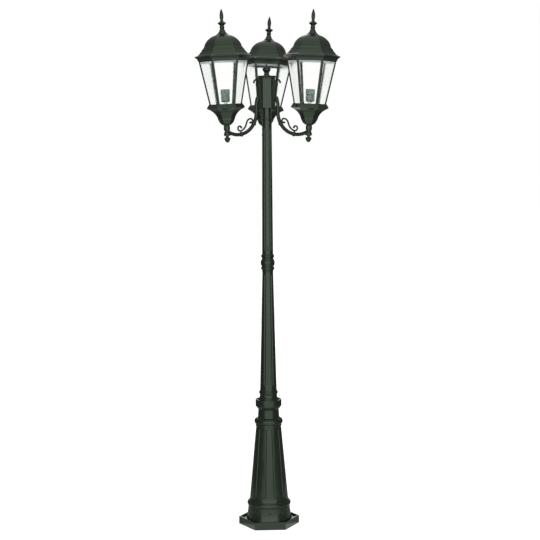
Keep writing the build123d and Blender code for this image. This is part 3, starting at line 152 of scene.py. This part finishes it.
def coat(name, base, cloud, edge, grain=900.0, seed=0.0, wear=0.3):
    """A painted casting: base and cloud colours by the cloud, lighter worn edges, peel as bump."""
    material, tree, shader = new_material(name, Specular_IOR_Level=COAT_GLOSS, Specular_Tint=GREEN_GLOSS)
    peel = group_node(tree, PEEL, Grain=grain, Seed=seed).outputs
    worn = group_node(tree, WORN).outputs
    tone = two_tones(tree, peel["Cloud"], linear(*base), linear(*cloud))
    amount = node(tree, "Math", [(0, worn["Mask"])], operation="MULTIPLY")
    amount.inputs[1].default_value = wear
    shade = node(tree, "Mix", [(0, amount.outputs[0]), (6, tone)], data_type="RGBA")
    shade.inputs[7].default_value = linear(*edge)
    smooth, dull = COAT_ROUGHNESS - 0.04, COAT_ROUGHNESS + 0.05
    rough = node(tree, "MapRange", [("Value", peel["Cloud"])], To_Min=smooth, To_Max=dull)
    surface = [("Height", peel["Height"]), ("Normal", worn["Normal"])]
    relief = node(tree, "Bump", surface, Strength=PEEL_STRENGTH, Distance=PEEL_HEIGHT)
    tree.links.new(shade.outputs[2], shader.inputs["Base Color"])
    tree.links.new(rough.outputs[0], shader.inputs["Roughness"])
    tree.links.new(relief.outputs[0], shader.inputs["Normal"])
    return material


def dress(material, *names):
    """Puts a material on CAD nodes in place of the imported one."""
    for name in names:
        mesh = frame["nodes"][name].data
        mesh.materials.clear()
        mesh.materials.append(material)


def each(*names):
    """The names of the three copies of these pieces."""
    return [f"{name}_{side}" for name in names for side in SIDES]


coat_base = coat("base coat", GREEN, CLOUDED_GREEN, WORN_TRAY_GREEN, seed=1.0)
coat_post = coat("post coat", GREEN, CLOUDED_GREEN, WORN_GREEN, seed=3.0)
coat_arm = coat("arm coat", GREEN, CLOUDED_GREEN, WORN_GREEN, seed=5.0)
coat_lantern = coat("lantern coat", GREEN, CLOUDED_GREEN, WORN_GREEN, seed=7.0)
dress(coat_base, "base_tray", "pedestal", "collar")
dress(coat_post, "lower_shaft", "coupling", "upper_pole", "pole_fitter", "hub_body", "hub_cap", "hub_finial")
dress(coat_arm, *each("arm", "scroll"))
dress(coat_lantern, *each("stem", "acorn", "bell", "cage", "roof", "finial"))


# Screws that show: slotted, painted a shade darker than the castings and worn pale at their edges.
# They sit in the pedestal's skirt, the collar, the pole's fitter and the roofs' coves.
SCREW_GREEN, CLOUDED_SCREW, BARE_SCREW = (34, 46, 36), (42, 54, 44), (116, 128, 114)
coat_screw = coat("screw coat", SCREW_GREEN, CLOUDED_SCREW, BARE_SCREW, wear=0.7, grain=1400.0)
dress(coat_screw, "pedestal_screws", "collar_screws", "fitter_screws", *each("roof_screw"))


# Window panes: six tapered sheets of clear rippled glass in each cage, thin at their bevelled rims
# and ground matt at their heads. They stand in the base ring's rebate and lie against the cage's
# bars from inside.
ARM_TURN = {"rear": 0, "left": 120, "right": 240}    # degrees from the arm that points to +Y
LANTERN_TURN = {"rear": -3.8, "left": 2.2, "right": -8.5}   # how each one was tightened on its tube
SOCKET_LEVEL = 0.058       # the lamp socket's mount, along the lantern's axis from its base ring
PANES = 6
PANE_FOOT, PANE_HEAD = 0.0133, 0.2022
PANE_FOOT_OUT = 0.0579     # the outer face's distance from the axis at the pane's foot
PANE_FLARE = 0.1732        # how much farther out it is for each unit of level
PANE_FOOT_HALF, PANE_HEAD_HALF = 0.0314, 0.0502
RIM_THICKNESS, MIDDLE_THICKNESS, BEVEL = 0.003, 0.0038, 0.012
RIPPLE, RIPPLE_LENGTH, RIPPLE_WAVES = 0.00004, 0.018, 12
RIPPLE_FADE = 0.006        # how far from the rim the ripple has its full height
BACK_RIPPLE, BACK_SEED = 0.5, 100      # the inner face's share of the ripple, and its own draw
PANE_ROWS, PANE_COLUMNS = 90, 46
ETCHED_ROWS = 6            # rows of the grid at the pane's head, ground matt under the roof's fascia
CLEAR_TINT, SLANT_TINT = (1, 0.998, 0.99, 1), (0.955, 1, 0.975, 1)
ETCHED_BLUE, ETCHED_WHITE = (0.88, 0.95, 0.98, 1), (1, 1, 1, 1)


def grid_faces(rows, columns, round_rows=False, round_columns=False):
    """The quads of a grid of points, closed on itself along either way."""
    last_row, last_column = rows - (not round_rows), columns - (not round_columns)
    i, j = np.meshgrid(np.arange(last_row), np.arange(last_column), indexing="ij")
    below, right = (i + 1) % rows, (j + 1) % columns
    corners = [i * columns + j, i * columns + right, below * columns + right, below * columns + j]
    return np.stack(corners, -1).reshape(-1, 4)


def sheet_between(front, back):
    """Points and faces of a closed sheet between two grids, with a strip round their borders."""
    rows, columns = front.shape[:2]
    index = np.arange(rows * columns).reshape(rows, columns)
    border = np.concatenate([index[0], index[1:, -1], index[-1, -2::-1], index[-2:0:-1, 0]])
    ahead, shift = np.roll(border, -1), rows * columns
    rim = np.stack([ahead, border, border + shift, ahead + shift], -1)
    face = grid_faces(rows, columns)
    points = np.concatenate([front.reshape(-1, 3), back.reshape(-1, 3)])
    return points, np.concatenate([face, face[:, ::-1] + shift, rim])


def joined(parts):
    """One set of points and faces from several."""
    starts = np.cumsum([0] + [len(points) for points, _ in parts])
    faces = [face + start for (_, face), start in zip(parts, starts)]
    return np.concatenate([points for points, _ in parts]), np.concatenate(faces)


def piece(name, shape, material, body, slot, *replaced):
    """An object from points and faces that rides a body and may stand for CAD nodes."""
    mesh = bpy.data.meshes.new(name)
    mesh.from_pydata(shape[0], [], shape[1])
    mesh.shade_smooth()
    mesh.materials.append(material)
    made = bpy.data.objects.new(name, mesh)
    bpy.context.scene.collection.objects.link(made)
    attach(made, body)
    if replaced:
        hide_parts(*replaced)
    return made


def turned_about(points, degrees):
    """Points turned about the Z axis."""
    c, s = np.cos(np.radians(degrees)), np.sin(np.radians(degrees))
    return points @ np.array([[c, s, 0], [-s, c, 0], [0, 0, 1]])


def in_lantern(side, shape):
    """A shape moved from a lantern's own frame to the row frame.

    The lantern's frame has its origin on the base ring, Z up its leaning axis and Y outwards.
    """
    lift = next(joint for joint in frame["joints"] if joint["name"] == f"roof_lift_{side}")
    socket = next(mount for mount in frame["record"]["mounts"] if mount["name"] == f"lamp_socket_{side}")
    up = np.array(lift["axis"])
    turn = np.radians(ARM_TURN[side])
    out = np.cross(up, (np.cos(turn), np.sin(turn), 0))
    out /= np.linalg.norm(out)
    origin = np.array(socket["pos_m"]) - SOCKET_LEVEL * up
    points = turned_about(shape[0], LANTERN_TURN[side])
    return points @ np.array([np.cross(out, up), out, up]) + origin, shape[1]


def ripple(across, along, seed):
    """Rippled glass: plane waves of random heading, height = sum(sin(k.p + phase)) / sqrt(waves)."""
    chance = np.random.default_rng(seed)
    heading, phase = chance.uniform(0, 2 * np.pi, (2, RIPPLE_WAVES, 1, 1))
    number = 2 * np.pi / (RIPPLE_LENGTH * chance.uniform(0.7, 1.5, (RIPPLE_WAVES, 1, 1)))
    waves = np.sin(number * (across * np.cos(heading) + along * np.sin(heading)) + phase)
    return waves.sum(0) / np.sqrt(RIPPLE_WAVES)


def pane(side_number, seed):
    """A pane as a sheet over (u, v): x = u half(v), z along v, the rim thin and the middle thick."""
    v, u = np.meshgrid(np.linspace(0, 1, PANE_ROWS), np.linspace(-1, 1, PANE_COLUMNS), indexing="ij")
    level = PANE_FOOT + (PANE_HEAD - PANE_FOOT) * v
    half = PANE_FOOT_HALF + (PANE_HEAD_HALF - PANE_FOOT_HALF) * v
    outer = PANE_FOOT_OUT + PANE_FLARE * (level - PANE_FOOT)
    across = u * half
    from_rim = np.minimum(half - np.abs(across), np.minimum(level - PANE_FOOT, PANE_HEAD - level))
    inside = np.clip(from_rim / BEVEL, 0, 1)
    thick = RIM_THICKNESS + (MIDDLE_THICKNESS - RIM_THICKNESS) * inside
    waves = RIPPLE * np.clip(from_rim / RIPPLE_FADE, 0, 1)
    front = outer - waves * (1 + ripple(across, level, seed))
    back = outer - thick + BACK_RIPPLE * waves * ripple(across, level, seed + BACK_SEED)
    shape = sheet_between(np.stack([across, -front, level], -1), np.stack([across, -back, level], -1))
    return turned_about(shape[0], 360 / PANES * side_number), shape[1]


def etched_faces():
    """Which faces of a pane are ground matt: the top rows of its outer and inner faces."""
    quads, rim = (PANE_ROWS - 1) * (PANE_COLUMNS - 1), 2 * (PANE_ROWS + PANE_COLUMNS - 2)
    head = np.arange(quads) // (PANE_COLUMNS - 1) >= PANE_ROWS - 1 - ETCHED_ROWS
    return np.concatenate([head, head, np.zeros(rim, bool)])


def rippled_glass():
    """Clear glass, faintly green where it is seen at a slant."""
    material, tree, shader = new_material("rippled glass", Transmission_Weight=1.0, IOR=1.2, Roughness=0.12)
    slant = node(tree, "LayerWeight", Blend=0.35).outputs["Facing"]
    tree.links.new(two_tones(tree, slant, CLEAR_TINT, SLANT_TINT), shader.inputs["Base Color"])
    return material


def speckle(tree, scale, detail):
    """A noise of 0 to 1 on the piece's own coordinates."""
    place = node(tree, "TexCoord").outputs["Object"]
    return node(tree, "TexNoise", [("Vector", place)], Scale=scale, Detail=detail).outputs["Fac"]


def etched_glass():
    """The same glass ground matt: pale, a little blue and mottled."""
    material, tree, shader = new_material("etched glass", Transmission_Weight=1.0, IOR=1.25, Roughness=0.6)
    mottle = speckle(tree, 90.0, 3.0)
    tree.links.new(two_tones(tree, mottle, ETCHED_BLUE, ETCHED_WHITE), shader.inputs["Base Color"])
    return material


glass, etched = rippled_glass(), etched_glass()
for number, side in enumerate(SIDES):
    panes = joined([pane(k, 10 * number + k) for k in range(PANES)])
    made = piece(f"panes_{side}", in_lantern(side, panes), glass, "post", "clear_glass", f"glass_{side}")
    made.data.materials.append(etched)
    material_index = np.tile(etched_faces(), PANES).astype(np.int32)
    made.data.polygons.foreach_set("material_index", material_index)


# Lamp holders: glazed grey-green ceramic, a little mottled, on the threaded tube inside each cage.
# They are cast hollow, and the lamp shell stands in the bore.
GLAZE, PALE_GLAZE = (92, 114, 109), (116, 138, 131)
glaze, tree, shader = new_material("holder glaze", Roughness=0.4)
glaze_tone = two_tones(tree, speckle(tree, 160.0, 4.0), linear(*GLAZE), linear(*PALE_GLAZE))
tree.links.new(glaze_tone, shader.inputs["Base Color"])
dress(glaze, *each("lampholder"))


# Lamp shells: drawn brass with a rolled thread, the round wave that a screw-base lamp turns into.
# Each lines the CAD's plain shell in its holder, which stays, with the floor contact.
SHELL_FOOT, SHELL_HEAD = 0.0372, 0.0778
SHELL_BORE, SHELL_OUTER = 0.0131, 0.01355
SHELL_PITCH, SHELL_THREAD = 0.0036, 0.0003
THREAD_ROWS, THREAD_COLUMNS = 96, 48
BRASS = (206, 172, 104)


def threaded(low, high, pitch, radius, depth, inner_radius, inner_depth=0.0):
    """A threaded tube over (angle, level): r = radius - depth (1 + cos(2 pi level / pitch - angle)) / 2.

    The grid goes up outside and down inside and closes on itself. The thread runs out at both ends.
    """
    angle = np.linspace(0, 2 * np.pi, THREAD_COLUMNS, endpoint=False)
    level = np.linspace(low, high, THREAD_ROWS)[:, None]
    end = np.clip(np.minimum(level - low, high - level) / pitch, 0, 1)
    wave = (1 + np.cos(2 * np.pi * level / pitch - angle)) / 2 * end
    radii = np.concatenate([radius - depth * wave, (inner_radius - inner_depth * wave)[::-1]])
    levels = np.concatenate([level, level[::-1]]) + 0 * angle
    points = np.stack([radii * np.cos(angle), radii * np.sin(angle), levels], -1)
    return points.reshape(-1, 3), grid_faces(2 * THREAD_ROWS, THREAD_COLUMNS, True, True)


def metal(name, colour, roughness, scratch=0.08):
    """Bare metal of one colour, its roughness uneven by fine noise."""
    material, tree, shader = new_material(name, Metallic=1.0, Base_Color=linear(*colour))
    grain = [("Value", speckle(tree, 700.0, 3.0))]
    rough = node(tree, "MapRange", grain, To_Min=roughness - scratch, To_Max=roughness + scratch)
    tree.links.new(rough.outputs[0], shader.inputs["Roughness"])
    return material


brass = metal("lamp shell brass", BRASS, 0.3)
for side in SIDES:
    shell = threaded(
        SHELL_FOOT, SHELL_HEAD, SHELL_PITCH, SHELL_OUTER, SHELL_THREAD, SHELL_BORE, SHELL_THREAD,
    )
    piece(f"threaded_shell_{side}", in_lantern(side, shell), brass, "post", "shell_brass")


# Threaded tubes, their nuts and the arms' screws: steel with a bright zinc coat. A tube holds its
# whole lantern on the arm's boss, and the lead comes up through its bore. The CAD's plain tube
# stays, and the thread lies just under its surface, so that little but the crests shows.
TUBE_FOOT, TUBE_HEAD = 0.006, 0.035    # the stretch inside the cage, up into the lamp holder
TUBE_R, TUBE_BORE = 0.005, 0.0037
TUBE_PITCH, TUBE_THREAD = 0.0015, 0.0006
ZINC = (186, 188, 186)
zinc = metal("bright zinc", ZINC, 0.32)
for side in SIDES:
    tube = threaded(TUBE_FOOT, TUBE_HEAD, TUBE_PITCH, TUBE_R, TUBE_THREAD, TUBE_BORE)
    piece(f"threaded_tube_{side}", in_lantern(side, tube), zinc, "post", "zinc_steel")
dress(zinc, "nipple_nuts", "arm_screws", *each("nipple"))


# Wiring inside the post: a black rubber feed cable from the tray up to the hub, pale lamp leads
# from there through the arms to the holders, and orange cone connectors that join them.
CABLE_BLACK, LEAD_WHITE, CONNECTOR_ORANGE = (34, 34, 35), (196, 194, 186), (206, 112, 36)


def sheath(name, colour, roughness):
    """Plastic or rubber with a faint grain."""
    material, tree, shader = new_material(name, Base_Color=linear(*colour), Roughness=roughness)
    grain = [("Height", speckle(tree, 500.0, 2.0))]
    relief = node(tree, "Bump", grain, Strength=0.15, Distance=0.0002)
    tree.links.new(relief.outputs[0], shader.inputs["Normal"])
    return material


dress(sheath("cable rubber", CABLE_BLACK, 0.55), "feed_cable")
dress(sheath("lead jacket", LEAD_WHITE, 0.5), "lamp_leads")
dress(sheath("connector plastic", CONNECTOR_ORANGE, 0.35), "wire_connectors")


# Studio floor: a pale flat floor just under the tray. It is white to the camera, to gloss and
# through glass, keeps the post's soft shadow, and is a plain grey to the light that it sends back.
FLOOR_HALF, FLOOR_LEVEL = 30.0, -0.0005
FLOOR_GREY, FLOOR_PALE = (0.45, 0.45, 0.45, 1), (0.8, 0.8, 0.8, 1)
FLOOR_GLOW = 0.85
BLACK, WHITE = (0, 0, 0, 1), (1, 1, 1, 1)


def white_to_the_eye(tree, plain, white):
    """A white shader to the camera, to gloss and through glass, and a plain one to the rest."""
    ray = node(tree, "LightPath").outputs
    straight = [(0, ray["Is Camera Ray"]), (1, ray["Is Transmission Ray"])]
    seen = node(tree, "Math", straight, operation="MAXIMUM").outputs[0]
    shown = node(tree, "Math", [(0, seen), (1, ray["Is Glossy Ray"])], operation="MAXIMUM")
    return node(tree, "MixShader", [(0, shown.outputs[0]), (1, plain), (2, white)]).outputs[0]


def flat(name, corners, material):
    """A staged four-cornered sheet of the studio."""
    mesh = bpy.data.meshes.new(name)
    mesh.from_pydata(np.array(corners, float), [], [(0, 1, 2, 3)])
    mesh.materials.append(material)
    made = bpy.data.objects.new(name, mesh)
    bpy.context.scene.collection.objects.link(made)
    return made


floor, tree, plain = new_material("studio floor", Base_Color=FLOOR_GREY, Roughness=0.9)
pale = node(tree, "BsdfDiffuse", Color=FLOOR_PALE)
glow = node(tree, "Emission", Color=WHITE, Strength=FLOOR_GLOW)
white = node(tree, "AddShader", [(0, pale.outputs[0]), (1, glow.outputs[0])])
shown = white_to_the_eye(tree, plain.outputs[0], white.outputs[0])
tree.links.new(shown, tree.nodes["Material Output"].inputs["Surface"])
square = [(x * FLOOR_HALF, y * FLOOR_HALF, FLOOR_LEVEL) for x, y in ((-1, -1), (1, -1), (1, 1), (-1, 1))]
flat("floor", square, floor)


# Dark cards: a tall pair of sheets at the post's left and right, brighter above, and a low pair of
# mats beside its foot. Gloss alone sees them, so that the castings' edges and tray reflect dark.
CARD_OUT, CARD_FRONT, CARD_BACK = 0.8, -0.9, 6.0
CARD_FOOT, CARD_MIDDLE, CARD_HEAD = 0.01, 1.7, 5.0
MAT_IN, MAT_FRONT, MAT_BACK, MAT_HEIGHT = 0.14, -0.4, 2.5, 0.001
MAT_SHINE, LOW_SHINE, HIGH_SHINE = 0.3, 0.05, 0.2


def dark_pair(name, shine, near, far, low, high, front, back):
    """Two sheets, left and right of the post, that only gloss sees, at a strength under white's 1."""
    material = new_material(name, Base_Color=BLACK, Emission_Color=WHITE, Emission_Strength=shine)[0]
    for side, sign in (("left", -1), ("right", 1)):
        x, far_x = sign * near, sign * far
        corners = [(x, front, low), (x, back, low), (far_x, back, high), (far_x, front, high)]
        card = flat(f"{side} {name}", corners, material)
        card.visible_camera = card.visible_diffuse = card.visible_transmission = card.visible_shadow = False


dark_pair("foot mat", MAT_SHINE, MAT_IN, CARD_OUT, MAT_HEIGHT, MAT_HEIGHT, MAT_FRONT, MAT_BACK)
dark_pair("low card", LOW_SHINE, CARD_OUT, CARD_OUT, CARD_FOOT, CARD_MIDDLE, CARD_FRONT, CARD_BACK)
dark_pair("high card", HIGH_SHINE, CARD_OUT, CARD_OUT, CARD_MIDDLE, CARD_HEAD, CARD_FRONT, CARD_BACK)


# Studio light: a white surround that lights the post dimly, and three large soft lamps, in front,
# behind and above. Their levels show a colour at about the value that it is written with.
DIM_SURROUND, WHITE_SURROUND = 0.35, 1.0
world = bpy.data.worlds.new("studio")
bpy.context.scene.world = world
world.use_nodes = True
tree = world.node_tree
dim = node(tree, "Background", Color=WHITE, Strength=DIM_SURROUND).outputs[0]
white = node(tree, "Background", Color=WHITE, Strength=WHITE_SURROUND).outputs[0]
tree.links.new(white_to_the_eye(tree, dim, white), tree.nodes["World Output"].inputs["Surface"])


def softbox(name, place, target, width, height, radiance):
    """A rectangular lamp at place, facing target, that the camera doesn't see: radiance 1 is white."""
    lamp = bpy.data.lights.new(name, "AREA")
    lamp.shape, lamp.size, lamp.size_y = "RECTANGLE", width, height
    lamp.energy = radiance * np.pi * width * height
    made = bpy.data.objects.new(name, lamp)
    made.location = place
    made.rotation_euler = (Vector(target) - Vector(place)).to_track_quat("-Z", "Y").to_euler()
    made.visible_camera = False
    bpy.context.scene.collection.objects.link(made)
    return made


softbox("front", (-0.35, -7.0, 1.9), (-0.35, 0, 1.9), width=17.3, height=3.2, radiance=1.35)
back = softbox("back", (0.35, 7.0, 1.9), (0.35, 0, 1.9), width=14.0, height=3.2, radiance=1.0)
back.visible_transmission = False
softbox("ceiling", (0, -0.8, 5.5), (0, -0.79, 0), width=9.0, height=10.0, radiance=0.2)


# Camera: the photograph's viewpoint, about six metres in front of the post and 1.7 m up.
# It looks a little down and to the right, through a long lens, and leans by a third of a degree.
LENS, SENSOR = 88.844, 36.0                          # mm
CAMERA_PLACE = (-0.2656, -5.9067, 1.6979)
LOOKS_DOWN, LOOKS_RIGHT, LEANS = 5.282, 2.673, 0.322   # degrees
camera = bpy.data.objects.new("camera", bpy.data.cameras.new("camera"))
camera.data.lens, camera.data.sensor_width, camera.data.clip_end = LENS, SENSOR, 100
camera.location = CAMERA_PLACE
aim = Euler((np.radians(90 - LOOKS_DOWN), 0, np.radians(-LOOKS_RIGHT)), "XYZ").to_matrix()
roll = Euler((0, 0, np.radians(-LEANS)), "XYZ").to_matrix()
camera.rotation_euler = (aim @ roll).to_euler()
bpy.context.scene.collection.objects.link(camera)
bpy.context.scene.camera = camera
bpy.context.scene.view_settings.view_transform = "Standard"
